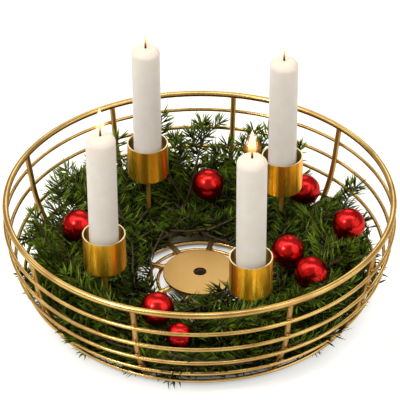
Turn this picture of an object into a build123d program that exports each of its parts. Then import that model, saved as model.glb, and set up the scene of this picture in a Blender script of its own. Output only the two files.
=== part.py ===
from build123d import *
import os
from math import acos, atan2, cos, hypot, radians, sin, tan

# An advent candle holder: a round basket of welded gold wire that stands on the bends of its ribs.
# Millimetres, +Z up. The origin is on the table, under the middle of the basket.
# The front is the -Y side.

# Wire basket
RIM_RADIUS = 187.0
RIM_HEIGHT = 107.0
RIM_WIRE = 6.0
RIB_WIRE = 5.5
RING_WIRE = 3.5
RIB_ANGLES = (40.7, 79.0, 118.5, 156.5, 213.5, 251.0, 296.0, 330.0)
SHOULDER_RADIUS = 177.2
SHOULDER_HEIGHT = 41.8
SHOULDER_BEND = 130.0
FOOT_RADIUS = 144.0
FOOT_BEND = 12.0
RIB_END_RADIUS = 26.0
SIDE_RING_COUNT = 5
SIDE_RING_PITCH = 20.0
FLOOR_RING_RADII = (42.0, 52.0, 67.0, 86.0, 105.0)
WELD_GAP = 0.05

# Disc in the middle of the floor
DISC_DIAMETER = 73.0
DISC_THICKNESS = 2.0
DISC_TOP = 17.0
DISC_HOLE_DIAMETER = 13.0
DISC_EDGE_ROUND = 0.5

# Candle cups on their stems; every other rib carries one
CANDLE_CIRCLE = 108.5
STEM_DIAMETER = 4.5
CUP_DIAMETER = 41.0
CUP_HEIGHT = 38.0
CUP_TOP = 107.0
CUP_WALL = 1.2
CUP_BOTTOM_ROUND = 3.0
SPIKE_DIAMETER = 5.0
SPIKE_SHANK = 4.0
SPIKE_HEIGHT = 20.0
SPIKE_TIP_DIAMETER = 1.0

# Candles
CANDLE_DIAMETER = 28.0
CANDLE_LENGTH = 147.0
CANDLE_SHOULDER = 7.0
CANDLE_SEAT_GAP = 0.1
SPIKE_CLEARANCE = 0.3
WICK_DIAMETER = 2.0
WICK_CLEARANCE = 0.1
WICK_SHOWING = 14.0

# Glass baubles: angle, distance from the middle, height, diameter, and angle of the pick wire's foot
BAUBLE_LARGE = 32.0
BAUBLE_SMALL = 25.0
BAUBLES = (
    (85.0, 97.0, 55.0, BAUBLE_LARGE, 85.0),
    (171.0, 121.0, 60.0, BAUBLE_LARGE, 171.0),
    (249.6, 116.0, 55.0, BAUBLE_LARGE, 245.0),
    (261.6, 135.0, 42.0, BAUBLE_SMALL, 264.0),
    (343.6, 89.0, 60.0, BAUBLE_LARGE, 343.6),
    (333.0, 119.5, 55.0, BAUBLE_LARGE, 335.0),
    (7.4, 148.0, 60.0, BAUBLE_LARGE, 7.4),
    (41.2, 141.0, 50.0, BAUBLE_LARGE, 47.0),
)
BAUBLE_WALL = 0.9
NECK_DIAMETER = 8.0
NECK_LENGTH = 4.0
CAP_WALL = 0.5
CAP_SKIRT = 3.0
CAP_CLEARANCE = 0.1
PICK_WIRE = 1.2

# Fir sprays that lie between the ribs on the floor rings; a wide gap takes two
SPRAY_WIDEST = 50.0
SPRAY_SEAT_GAP = 0.1
SPRAY_POCKET_GAP = 0.4
SPRAY_STAGGER = 7.0
SPRAY_LIFT_LEAST = 0.9
SPRAY_LIFT_SPREAD = 0.3
GOLDEN_STEP = 0.618
# Shoots of a spray, each as its two ends, its needles' reach, and the sides of the spray it grows on.
# An end is a distance from the basket's middle, a share of the half wedge, and a lift off the floor.
SPRAY_SHOOTS = (
    ((58.0, 0.0, 0.0), (116.0, 0.0, 0.0), 11.0, (0,)),
    ((104.0, 0.0, 4.0), (163.0, 0.0, 50.0), 12.0, (0,)),
    ((72.0, 0.0, 0.0), (118.0, 0.78, 0.0), 10.0, (-1, 1)),
    ((92.0, 0.0, 4.0), (146.0, 0.86, 28.0), 11.0, (-1, 1)),
    ((102.0, 0.0, 9.0), (160.0, 0.5, 68.0), 11.0, (-1, 1)),
    ((104.0, 0.1, 10.0), (150.0, 1.0, 52.0), 10.0, (1,)),
)
# A shoot's needles: share of the shoot's length, share of the reach
SHOOT_OUTLINE = ((0.0, 0.45), (0.22, 1.0), (0.62, 1.0), (1.0, 0.35))

UP_ALIGN = (Align.CENTER, Align.CENTER, Align.MIN)
rib_r = RIB_WIRE / 2
ring_r = RING_WIRE / 2
rim_r = RIM_WIRE / 2
rib_end_height = DISC_TOP - DISC_THICKNESS - WELD_GAP - rib_r
cup_bottom = CUP_TOP - CUP_HEIGHT
cup_floor = cup_bottom + CUP_WALL
candle_bottom = cup_floor + CANDLE_SEAT_GAP
candle_angles = RIB_ANGLES[::2]


def tangent_angle(point, centre, radius, side):
    """Angle, seen from a circle's centre, at which a line from an outside point touches the circle."""
    dx, dy = point[0] - centre[0], point[1] - centre[1]
    return atan2(dy, dx) + side * acos(radius / hypot(dx, dy))


def rib_points():
    """Corner points of a rib's centre line: rim, shoulder, foot and inner end, as radius and height."""
    top = (RIM_RADIUS, RIM_HEIGHT)
    shoulder = (SHOULDER_RADIUS, SHOULDER_HEIGHT)
    end = (RIB_END_RADIUS, rib_end_height)
    centre = (FOOT_RADIUS, FOOT_BEND + rib_r)
    side_touch = tangent_angle(shoulder, centre, FOOT_BEND, -1)
    floor_touch = tangent_angle(end, centre, FOOT_BEND, 1)
    middle = (side_touch + floor_touch) / 2
    reach = FOOT_BEND / cos((side_touch - floor_touch) / 2)
    foot = (centre[0] + reach * cos(middle), centre[1] + reach * sin(middle))
    return top, shoulder, foot, end


RIB_TOP, RIB_SHOULDER, RIB_FOOT, RIB_END = rib_points()
rib_path = FilletPolyline(RIB_TOP, RIB_SHOULDER, RIB_FOOT, RIB_END, radius=(SHOULDER_BEND, FOOT_BEND))
floor_slope = atan2(RIB_END[1] - RIB_FOOT[1], RIB_FOOT[0] - RIB_END[0])


def floor_height(radius):
    """Height of the ribs' centre line where they run along the floor."""
    return RIB_END[1] - (radius - RIB_END[0]) * tan(floor_slope)


def ring_top_height(radius):
    """Top of a floor ring, which is welded under the ribs."""
    return floor_height(radius) - (rib_r + WELD_GAP) / cos(floor_slope)


def ring_of_wire(radius, height, wire_radius):
    return Pos(0, 0, height) * Torus(radius, wire_radius)


def rim_ring():
    return ring_of_wire(RIM_RADIUS, RIM_HEIGHT, rim_r)


def side_ring(number):
    """Thin ring on the outside of the ribs, a whole number of pitches down from the rim."""
    share = number * SIDE_RING_PITCH / rib_path.length
    spot, heading = rib_path @ share, rib_path % share
    step = rib_r + WELD_GAP + ring_r
    return ring_of_wire(spot.X - heading.Y * step, spot.Y + heading.X * step, ring_r)


def floor_ring(radius):
    """Thin ring under the ribs."""
    drop = (rib_r + WELD_GAP + ring_r) / cos(floor_slope)
    return ring_of_wire(radius, floor_height(radius) - drop, ring_r)


def rib():
    """J-shaped wire from the rim's underside down the side, round the foot and in to the disc."""
    path = Plane.XZ * rib_path
    section = Plane(path @ 0, z_dir=path % 0) * Circle(rib_r)
    saddle = ring_of_wire(RIM_RADIUS, RIM_HEIGHT, rim_r + WELD_GAP)
    above = Pos(RIM_RADIUS, 0, RIM_HEIGHT) * Box(4 * RIM_WIRE, 4 * RIM_WIRE, 2 * RIM_WIRE, align=UP_ALIGN)
    return (sweep(section, path=path) - saddle - above).solids().sort_by(Axis.Z)[0]


def centre_disc():
    plate = Pos(0, 0, DISC_TOP - DISC_THICKNESS) * Cylinder(DISC_DIAMETER / 2, DISC_THICKNESS, align=UP_ALIGN)
    plate = fillet(plate.edges().sort_by(Axis.Z)[-1], DISC_EDGE_ROUND)
    return plate - Pos(0, 0, DISC_TOP) * Cylinder(DISC_HOLE_DIAMETER / 2, 4 * DISC_THICKNESS)


def candle_stem():
    """Rod that stands on a rib, cut to the rib's round top."""
    base = floor_height(CANDLE_CIRCLE)
    rod = Pos(CANDLE_CIRCLE, 0, base) * Cylinder(STEM_DIAMETER / 2, cup_bottom - base, align=UP_ALIGN)
    run = Plane((CANDLE_CIRCLE, 0, base), z_dir=(cos(floor_slope), 0, -sin(floor_slope)))
    return (rod - run * Cylinder(rib_r + WELD_GAP, 4 * STEM_DIAMETER)).solids().sort_by(Axis.Z)[-1]


def candle_cup():
    """Drawn cup with a flat bottom, a rounded lower edge and a thin wall."""
    outside = Cylinder(CUP_DIAMETER / 2, CUP_HEIGHT, align=UP_ALIGN)
    outside = fillet(outside.edges().sort_by(Axis.Z)[0], CUP_BOTTOM_ROUND)
    inside = Pos(0, 0, CUP_WALL) * Cylinder(CUP_DIAMETER / 2 - CUP_WALL, CUP_HEIGHT, align=UP_ALIGN)
    inside = fillet(inside.edges().sort_by(Axis.Z)[0], CUP_BOTTOM_ROUND - CUP_WALL)
    return Pos(CANDLE_CIRCLE, 0, cup_bottom) * (outside - inside)


def spike(extra=0.0):
    """Pointed pin on the cup's floor; extra swells it into the hole in the candle."""
    shank = Cylinder(SPIKE_DIAMETER / 2 + extra, SPIKE_SHANK + extra, align=UP_ALIGN)
    point_height = SPIKE_HEIGHT - SPIKE_SHANK
    point = Cone(SPIKE_DIAMETER / 2 + extra, SPIKE_TIP_DIAMETER / 2 + extra, point_height, align=UP_ALIGN)
    return Pos(CANDLE_CIRCLE, 0, cup_floor) * (shank + Pos(0, 0, SPIKE_SHANK + extra) * point)


def candle():
    """Wax candle with a rounded shoulder, a spike hole below and a bore for the wick."""
    wax = Pos(CANDLE_CIRCLE, 0, candle_bottom) * Cylinder(CANDLE_DIAMETER / 2, CANDLE_LENGTH, align=UP_ALIGN)
    wax = fillet(wax.edges().sort_by(Axis.Z)[-1], CANDLE_SHOULDER)
    bore = Cylinder(WICK_DIAMETER / 2 + WICK_CLEARANCE, CANDLE_LENGTH, align=UP_ALIGN)
    return wax - spike(SPIKE_CLEARANCE) - Pos(CANDLE_CIRCLE, 0, candle_bottom + SPIKE_HEIGHT) * bore


def wick():
    start = candle_bottom + SPIKE_HEIGHT + SPIKE_CLEARANCE
    length = candle_bottom + CANDLE_LENGTH + WICK_SHOWING - start
    rod = Pos(CANDLE_CIRCLE, 0, start) * Cylinder(WICK_DIAMETER / 2, length, align=UP_ALIGN)
    return fillet(rod.edges().sort_by(Axis.Z)[-1], WICK_DIAMETER / 5)


def polar(radius, angle, height):
    return Vector(radius * cos(radians(angle)), radius * sin(radians(angle)), height)


def pick_foot(radius, angle):
    """End of a pick wire, on top of the floor ring nearest to its bauble."""
    ring = min(FLOOR_RING_RADII, key=lambda ring_radius: abs(ring_radius - radius))
    return polar(ring, angle, ring_top_height(ring) + WELD_GAP + PICK_WIRE / 2)


def bauble_frame(row):
    """Plane in a bauble's centre whose downward side looks along its pick, and the distance to the foot."""
    angle, radius, height, size, foot_angle = row
    centre = polar(radius, angle, height)
    back = centre - pick_foot(radius, foot_angle)
    return Plane(centre, z_dir=back), back.length


def bauble(row):
    """Hollow glass ball, blown with a short open neck."""
    outer = row[3] / 2
    neck = Pos(0, 0, -outer - NECK_LENGTH) * Cylinder(NECK_DIAMETER / 2, outer, align=UP_ALIGN)
    throat = Cylinder(NECK_DIAMETER / 2 - BAUBLE_WALL, outer, align=UP_ALIGN)
    ball = Sphere(outer) + neck - Sphere(outer - BAUBLE_WALL) - Pos(0, 0, -outer - NECK_LENGTH) * throat
    return bauble_frame(row)[0] * ball


def bauble_pick(row):
    """Metal cap over the neck, with the wire that runs down to the floor of the basket."""
    plane, distance = bauble_frame(row)
    neck_end = row[3] / 2 + NECK_LENGTH
    inside = NECK_DIAMETER / 2 + CAP_CLEARANCE
    cap = Pos(0, 0, -neck_end - CAP_WALL) * Cylinder(inside + CAP_WALL, CAP_SKIRT + CAP_WALL, align=UP_ALIGN)
    cap -= Pos(0, 0, -neck_end) * Cylinder(inside, CAP_SKIRT, align=UP_ALIGN)
    wire = Pos(0, 0, -distance) * Cylinder(PICK_WIRE / 2, distance - neck_end - CAP_WALL / 2, align=UP_ALIGN)
    return plane * (cap + wire)


def bauble_room(row):
    """Room that a bauble and its pick take in the fir."""
    plane, distance = bauble_frame(row)
    neck_end = row[3] / 2 + NECK_LENGTH + CAP_WALL + SPRAY_POCKET_GAP
    cap_r = NECK_DIAMETER / 2 + CAP_CLEARANCE + CAP_WALL + SPRAY_POCKET_GAP
    ball = Sphere(row[3] / 2 + SPRAY_POCKET_GAP)
    cap = Pos(0, 0, -neck_end) * Cylinder(cap_r, neck_end, align=UP_ALIGN)
    wire = Pos(0, 0, -distance) * Cylinder(PICK_WIRE / 2 + SPRAY_POCKET_GAP, distance, align=UP_ALIGN)
    return plane * (ball + cap + wire)


def shoot(start, end, reach):
    """One shoot with its needles, as a spindle from one point to another."""
    length = (end - start).length
    rims = [(reach * across, length * along) for along, across in SHOOT_OUTLINE]
    outline = Polyline((0, 0), *rims, (0, length), close=True)
    spindle = revolve(Plane.XZ * make_face(outline), Axis.Z)
    return Plane(start, z_dir=end - start) * spindle


def spray_point(spot, mid, half, side, reach):
    radius, share, lift = spot
    height = ring_top_height(min(radius, FOOT_RADIUS)) + SPRAY_SEAT_GAP / cos(floor_slope) + reach + lift
    return polar(radius, mid + side * share * half, height)


def fir_spray(number, mid, half):
    """Fir spray: a main shoot out from the floor, side shoots low and high, and two upright ones."""
    shoots = []
    for kind, (start, end, reach, sides) in enumerate(SPRAY_SHOOTS):
        for side in sides:
            spread = ((len(SPRAY_SHOOTS) * number + kind) * 2 + side) * GOLDEN_STEP % 1.0
            lift = end[2] * (SPRAY_LIFT_LEAST + SPRAY_LIFT_SPREAD * spread)
            step = SPRAY_STAGGER if side > 0 else 0.0
            root = spray_point((start[0] + step, start[1], start[2]), mid, half, side, reach)
            shoots.append(shoot(root, spray_point((end[0], end[1], lift), mid, half, side, reach), reach))
    spray = shoots[0].fuse(*shoots[1:])
    for row in BAUBLES:
        if abs((row[0] - mid + 180.0) % 360.0 - 180.0) < half + SPRAY_WIDEST / 4:
            spray = spray - bauble_room(row)
    return spray.solids().sort_by(SortBy.VOLUME)[-1]


def fir_sprays():
    """Sprays in each gap between two ribs."""
    gaps, number = [], 0
    for start, end in zip(RIB_ANGLES, RIB_ANGLES[1:] + (RIB_ANGLES[0] + 360.0,)):
        count = 2 if end - start > SPRAY_WIDEST else 1
        half = (end - start) / count / 2
        gaps.append([fir_spray(number + k, start + half * (2 * k + 1), half) for k in range(count)])
        number += count
    return gaps


def turned(piece, angles):
    return [Rot(0, 0, angle) * piece for angle in angles]


def save(name, *pieces):
    whole = pieces[0] if len(pieces) == 1 else Compound(children=list(pieces))
    export_step(whole, os.path.join("parts", name + ".step"))


def save_row(name, pieces):
    for number, piece in enumerate(pieces, start=1):
        save(f"{name}_{number}", piece)


os.makedirs("parts", exist_ok=True)
save("rim_ring", rim_ring())
save_row("side_ring", [side_ring(number) for number in range(1, SIDE_RING_COUNT + 1)])
save_row("floor_ring", [floor_ring(radius) for radius in FLOOR_RING_RADII])
save_row("rib", turned(rib(), RIB_ANGLES))
save("centre_disc", centre_disc())
save_row("candle_stem", turned(candle_stem(), candle_angles))
save_row("candle_cup", turned(candle_cup(), candle_angles))
save("candle_spikes", *turned(spike(), candle_angles))
save_row("candle", turned(candle(), candle_angles))
save_row("wick", turned(wick(), candle_angles))
save_row("bauble", [bauble(row) for row in BAUBLES])
save("bauble_picks", *[bauble_pick(row) for row in BAUBLES])
for gap, sprays in enumerate(fir_sprays(), start=1):
    save(f"fir_spray_{gap}", *sprays)
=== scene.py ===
import math
from typing import NamedTuple

import bmesh
import bpy
import numpy as np
from mathutils import Matrix, Vector, noise
from mathutils.bvhtree import BVHTree


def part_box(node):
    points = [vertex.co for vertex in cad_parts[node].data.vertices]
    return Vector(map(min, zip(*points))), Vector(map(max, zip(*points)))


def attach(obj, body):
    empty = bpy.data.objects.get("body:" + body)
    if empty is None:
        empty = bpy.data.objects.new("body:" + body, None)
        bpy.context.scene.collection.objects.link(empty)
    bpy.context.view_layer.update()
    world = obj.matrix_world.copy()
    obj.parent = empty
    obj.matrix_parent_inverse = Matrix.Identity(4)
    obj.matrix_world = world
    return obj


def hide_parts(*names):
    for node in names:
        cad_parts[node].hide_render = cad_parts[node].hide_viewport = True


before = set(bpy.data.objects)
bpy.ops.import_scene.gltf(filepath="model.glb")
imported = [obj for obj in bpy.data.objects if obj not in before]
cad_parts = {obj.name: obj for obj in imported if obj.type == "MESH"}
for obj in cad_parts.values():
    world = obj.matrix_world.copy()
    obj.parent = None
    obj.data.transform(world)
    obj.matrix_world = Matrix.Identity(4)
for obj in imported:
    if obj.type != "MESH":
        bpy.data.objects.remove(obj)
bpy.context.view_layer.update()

bl_info = {
    "name": "Advent candle holder",
    "version": (1, 0, 0),
    "blender": (4, 5, 0),
    "location": "View3D > Sidebar > Advent",
    "description": "Finishes a wire basket with lit candles, fir sprays and glass baubles",
    "category": "Object",
}

MM = 0.001
BASKET = "basket"
UP = np.array((0.0, 0.0, 1.0))


def linear(hex_text):
    """sRGB hex colour as linear red, green and blue."""
    shares = [int(hex_text[k:k + 2], 16) / 255.0 for k in (1, 3, 5)]
    return tuple(s / 12.92 if s <= 0.04045 else ((s + 0.055) / 1.055) ** 2.4 for s in shares)


def colour(name, hex_text, description):
    """Colour property with its default from an sRGB hex value."""
    return bpy.props.FloatVectorProperty(name=name, description=description, subtype="COLOR", size=3,
                                         min=0.0, max=1.0, default=linear(hex_text))


def length(name, millimetres, description):
    """Length property with its default in millimetres."""
    return bpy.props.FloatProperty(name=name, description=description, subtype="DISTANCE", unit="LENGTH",
                                   min=0.0, default=millimetres * MM)


class WireSettings(bpy.types.PropertyGroup):
    """Gold wire, disc and cups."""
    lacquer: colour("Lacquer", "#DFB96A", "Gold lacquer where it is clean")
    tarnish: colour("Tarnish", "#BB914A", "Gold lacquer where it is dull")
    # painted shade: the brown that undersides of wires, welds and the disc's edge are darkened to
    brown: colour("Brown", "#5A380E", "Gold lacquer underneath")
    weld: colour("Weld", "#A9692C", "Heat colour of the welds")
    steel: colour("Steel", "#8E8B86", "Bare steel of the spikes")
    disc: colour("Disc", "#D6B06C", "Satin lacquer of the disc")
    disc_shade: colour("Disc shade", "#C79E5A", "Disc in the turning marks")
    cup: colour("Cup", "#FFC53A", "Polished cup")
    cup_shade: colour("Cup shade", "#FFB024", "Cup where the drawing marks are")
    cup_inside: colour("Cup inside", "#EAD28E", "Inside of a cup")
    cup_lip: colour("Cup lip", "#E2CB98", "Bare lip of a cup")


class CandleSettings(bpy.types.PropertyGroup):
    """Candles, wicks and flames."""
    wax: colour("Wax", "#F4F0EB", "Ivory wax")
    wax_shade: colour("Wax shade", "#EDE3D8", "Ivory wax where it is denser")
    molten: colour("Molten wax", "#EBD6C4", "Wet wax round the wick")
    glow: colour("Glow", "#FFB878", "Light of the flame in the wax")
    glow_depth: length("Glow depth", 42.0, "How far down from the top the wax glows")
    char: colour("Char", "#1C120C", "Burnt cotton of the wick")
    ember: colour("Ember", "#FFB648", "Glowing end of the wick")
    flame_core: colour("Flame core", "#FFF4D6", "Inside of a flame")
    flame_edge: colour("Flame edge", "#FFA22A", "Mantle and foot of a flame")
    flame_height: length("Flame height", 27.9, "Height of a flame over its foot")
    flame_width: length("Flame width", 8.0, "Width of a flame at its belly")


class BaubleSettings(bpy.types.PropertyGroup):
    """Glass baubles and their caps."""
    red: colour("Red", "#DC1D1A", "Lacquer inside the glass")
    deep_red: colour("Deep red", "#C60F0D", "Lacquer where it is thicker")
    cap: colour("Cap", "#8C7238", "Metal cap and pick wire")


class FirSettings(bpy.types.PropertyGroup):
    """Fir sprays."""
    # the dark needles also give the painted shade of low shoots and of needle feet
    needle_dark: colour("Dark needles", "#0D1201", "Needles in the depth of a spray")
    needle_mid: colour("Needles", "#2C4106", "Most needles")
    needle_light: colour("Young needles", "#6E8424", "Young needles at the tips")
    bark: colour("Bark", "#4C391B", "Twigs")
    needle_length: length("Needle length", 17.0, "Length of a needle")
    needle_width: length("Needle width", 1.75, "Width of a needle")
    seed: bpy.props.IntProperty(name="Seed", description="Start of the random numbers", default=7)


class StageSettings(bpy.types.PropertyGroup):
    """Camera, floor and light."""
    elevation: bpy.props.FloatProperty(name="Elevation", description="Angle of the view above the table",
                                       subtype="ANGLE", default=math.radians(34.94))
    roll: bpy.props.FloatProperty(name="Roll", description="Tilt of the camera", subtype="ANGLE",
                                  default=math.radians(-0.313))
    distance: length("Distance", 2132.8, "From the camera to the point it looks at")
    aim_right: length("Aim right", 0.41, "How far right of the middle the camera looks")
    aim_height: length("Aim height", 103.2, "Height of the point that the camera looks at")
    focal_pixels: bpy.props.FloatProperty(name="Focal length", description="In pixels of the photograph",
                                          default=2206.6)
    floor: colour("Floor", "#C5C0B0", "Pale floor")
    sky: bpy.props.FloatProperty(name="Sky", description="Strength of the light from all round", default=0.44)
    power: bpy.props.FloatProperty(name="Power", description="Power that the lamps have shares of",
                                   subtype="POWER", default=49.0)


SETTINGS = {
    "advent_wire": WireSettings,
    "advent_candle": CandleSettings,
    "advent_bauble": BaubleSettings,
    "advent_fir": FirSettings,
    "advent_stage": StageSettings,
}


def start_material(name):
    """New material with an empty node tree."""
    material = bpy.data.materials.new(name)
    material.use_nodes = True
    material.node_tree.nodes.clear()
    return material, material.node_tree


def add(tree, kind, inputs=None, out=None, **settings):
    """Adds a node with its settings, and a value or a link for each input that is named.

    Returns the output that is named, or else the first one that the settings leave in use.
    """
    made = tree.nodes.new(kind)
    for key, value in settings.items():
        setattr(made, key, value)
    for key, value in (inputs or {}).items():
        socket = made.inputs[key]
        if isinstance(value, bpy.types.NodeSocket):
            tree.links.new(value, socket)
        else:
            socket.default_value = (*value, 1.0) if socket.type == "RGBA" else value
    return made.outputs[out] if out else next((o for o in made.outputs if o.enabled), None)


# Inputs of a Mix node that mixes colours
MIX_FACTOR, MIX_A, MIX_B = 0, 6, 7


def worn_and_shaded_metal(name, clean, dull, underside_shade, patch_mm, roughness, lacquer):
    """Metal that is dull in patches and darker underneath with painted shade, with drawing marks and a share of
    clear lacquer.
    """
    material, tree = start_material(name)
    place = add(tree, "ShaderNodeTexCoord", out="Object")
    patches = add(tree, "ShaderNodeTexNoise", {"Vector": place, "Scale": 1.0 / (patch_mm * MM), "Detail": 4.0})
    contrast = add(tree, "ShaderNodeMapRange", {"Value": patches, "From Min": 0.38, "From Max": 0.66})
    top = add(tree, "ShaderNodeMix", {MIX_FACTOR: contrast, MIX_A: clean, MIX_B: dull}, data_type="RGBA")
    # painted shade: faces that turn down are darkened towards the underside colour
    facing = add(tree, "ShaderNodeNewGeometry", out="Normal")
    upward = add(tree, "ShaderNodeSeparateXYZ", {"Vector": facing}, "Z")
    shaded_below = add(tree, "ShaderNodeMapRange", {"Value": upward, "From Min": 0.3, "From Max": -0.7})
    base = add(tree, "ShaderNodeMix", {MIX_FACTOR: shaded_below, MIX_A: top, MIX_B: underside_shade}, data_type="RGBA")
    gloss = add(tree, "ShaderNodeMapRange", {"Value": patches, "To Min": roughness, "To Max": roughness + 0.16})
    # drawing marks of 0.8 mm, coarser than real ones so that they show
    marks = add(tree, "ShaderNodeTexNoise", {"Vector": place, "Scale": 1.0 / (0.8 * MM), "Detail": 2.0})
    bump = add(tree, "ShaderNodeBump", {"Height": marks, "Strength": 0.03, "Distance": 0.2 * MM})
    metal = add(tree, "ShaderNodeBsdfPrincipled",
                {"Base Color": base, "Metallic": 1.0, "Roughness": gloss, "Normal": bump, "Specular Tint": dull,
                 "Coat Weight": lacquer, "Coat Roughness": 0.08})
    add(tree, "ShaderNodeOutputMaterial", {"Surface": metal})
    return material


def dress(nodes, material):
    """Gives CAD nodes a material."""
    for name in nodes:
        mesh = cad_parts[name].data
        mesh.materials.clear()
        mesh.materials.append(material)
        mesh.polygons.foreach_set("material_index", np.zeros(len(mesh.polygons), np.int32))


def numbered(name):
    """CAD nodes of one row, such as rib_1, rib_2 and so on."""
    found = [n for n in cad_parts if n.rpartition("_")[0] == name and n.rpartition("_")[2].isdigit()]
    return sorted(found, key=lambda n: int(n.rpartition("_")[2]))


def points_of(node):
    """A CAD node's points, in the row frame."""
    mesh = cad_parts[node].data
    co = np.zeros(len(mesh.vertices) * 3, np.float32)
    mesh.vertices.foreach_get("co", co)
    return co.reshape(-1, 3).astype(float)


# A rib's points above this share of its height give its angle
RIB_TOP = 0.9


def rib_angle(node):
    """Angle of a rib about the basket's middle, from its upper end."""
    co = points_of(node)
    top = co[co[:, 2] > RIB_TOP * co[:, 2].max()].mean(0)
    return math.atan2(top[1], top[0])


def around(radius, angle, height):
    """Point at a distance and an angle from the upright axis."""
    return np.array([radius * math.cos(angle), radius * math.sin(angle), height])


def unit(way):
    """A direction as a vector of length 1."""
    return way / np.linalg.norm(way)


def tube_faces(start, rows, sides):
    """Faces of a tube between its rings of points, which are numbered from start on."""
    faces = []
    for row in range(rows - 1):
        for k in range(sides):
            a = start + row * sides + k
            b = start + row * sides + (k + 1) % sides
            faces.append([a, b, b + sides, a + sides])
    return faces


def mesh_piece(name, vertices, faces, material, body, smooth=True):
    """New mesh object that rides on a body."""
    mesh = bpy.data.meshes.new(name)
    mesh.from_pydata(vertices, [], faces)
    mesh.update()
    mesh.polygons.foreach_set("use_smooth", np.full(len(mesh.polygons), smooth))
    mesh.materials.append(material)
    piece = bpy.data.objects.new(name, mesh)
    bpy.context.scene.collection.objects.link(piece)
    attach(piece, body)
    return piece


def point_values(piece, name, values):
    """Stores one number for each point of a mesh, for its material to read."""
    piece.data.attributes.new(name, "FLOAT", "POINT").data.foreach_set("value", np.asarray(values, np.float32))


# A weld bead is as big as its wire is thick, up to a limit. Its half sizes across, along and up the ring are
# shares of that.
WELD_BEAD = 3.5 * MM
WELD_SHAPE = (0.62, 0.95, 0.62)
# How lumpy a bead is, how fine its lumps are, and how fast they change from bead to bead
WELD_LUMPS = 0.35
WELD_LUMP_SCALE = 1.7
WELD_LUMP_SHIFT = 900.0
# A bead sits inside a side ring, on a floor ring or under the rim: outwards and upwards, in shares of the wire
WELD_SEATS = {"side_ring": (-0.5, 0.15), "floor_ring": (0.0, 0.5), "rim_ring": (0.0, -0.5)}


class ADVENT_OT_wire(bpy.types.Operator):
    """Finishes the rim, rings, ribs and stems, and adds a weld at each crossing"""
    bl_idname = "advent.wire"
    bl_label = "Wire basket"

    def execute(self, context):
        s = context.scene.advent_wire
        rings = numbered("side_ring") + numbered("floor_ring") + ["rim_ring"]
        # drawn iron wire, brass plated and lacquered: crisp lines of light on warm gold, painted brown shade
        # underneath
        dress(rings, worn_and_shaded_metal("brass_plated_wire", s.lacquer, s.tarnish, s.brown,
                                patch_mm=30.0, roughness=0.18, lacquer=0.5))
        # bent iron rod with the same plating, satin from the bending tools: broad soft light, painted brown
        # shade underneath
        dress(numbered("rib"), worn_and_shaded_metal("satin_brass_plated_rod", s.lacquer, s.tarnish, s.brown,
                                          patch_mm=30.0, roughness=0.34, lacquer=0.5))
        # straight brass rod, brushed and lacquered: even matt gold, turned to the lacquer colour underneath as
        # painted shade
        dress(numbered("candle_stem"), worn_and_shaded_metal("brushed_brass_rod", s.cup, s.lacquer, s.lacquer,
                                                  patch_mm=12.0, roughness=0.5, lacquer=0.6))
        # weld metal under the lacquer: heat-browned, blotchy and dull, with painted brown shade underneath
        self.welds(rings, worn_and_shaded_metal("lacquered_weld", s.weld, s.tarnish, s.brown,
                                     patch_mm=1.5, roughness=0.36, lacquer=0.5))
        return {"FINISHED"}

    def welds(self, rings, material):
        """Small uneven lumps of weld metal where rings and ribs cross."""
        lump = bmesh.new()
        bmesh.ops.create_icosphere(lump, subdivisions=2, radius=1.0)
        shape = [v.co.copy() for v in lump.verts]
        sides = [[v.index for v in f.verts] for f in lump.faces]
        lump.free()
        angles = [rib_angle(node) for node in numbered("rib")]
        vertices, faces = [], []
        for ring in rings:
            low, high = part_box(ring)
            wire = high.z - low.z
            radius, height = (high.x - low.x - wire) / 2, (high.z + low.z) / 2
            outward, upward = (share * wire for share in WELD_SEATS[ring.rstrip("_0123456789")])
            bead = min(wire, WELD_BEAD)
            for angle in angles:
                turn = Matrix.Rotation(angle, 3, "Z")
                spot = turn @ Vector((radius + outward, 0.0, height + upward))
                start = len(vertices)
                for v in shape:
                    swell = 1.0 + WELD_LUMPS * noise.noise(v * WELD_LUMP_SCALE + spot * WELD_LUMP_SHIFT)
                    off = Vector([share * c for share, c in zip(WELD_SHAPE, v)])
                    vertices.append(spot + turn @ off * bead * swell)
                faces += [[start + k for k in side] for side in sides]
        mesh_piece("weld_beads", vertices, faces, material, BASKET)


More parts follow.
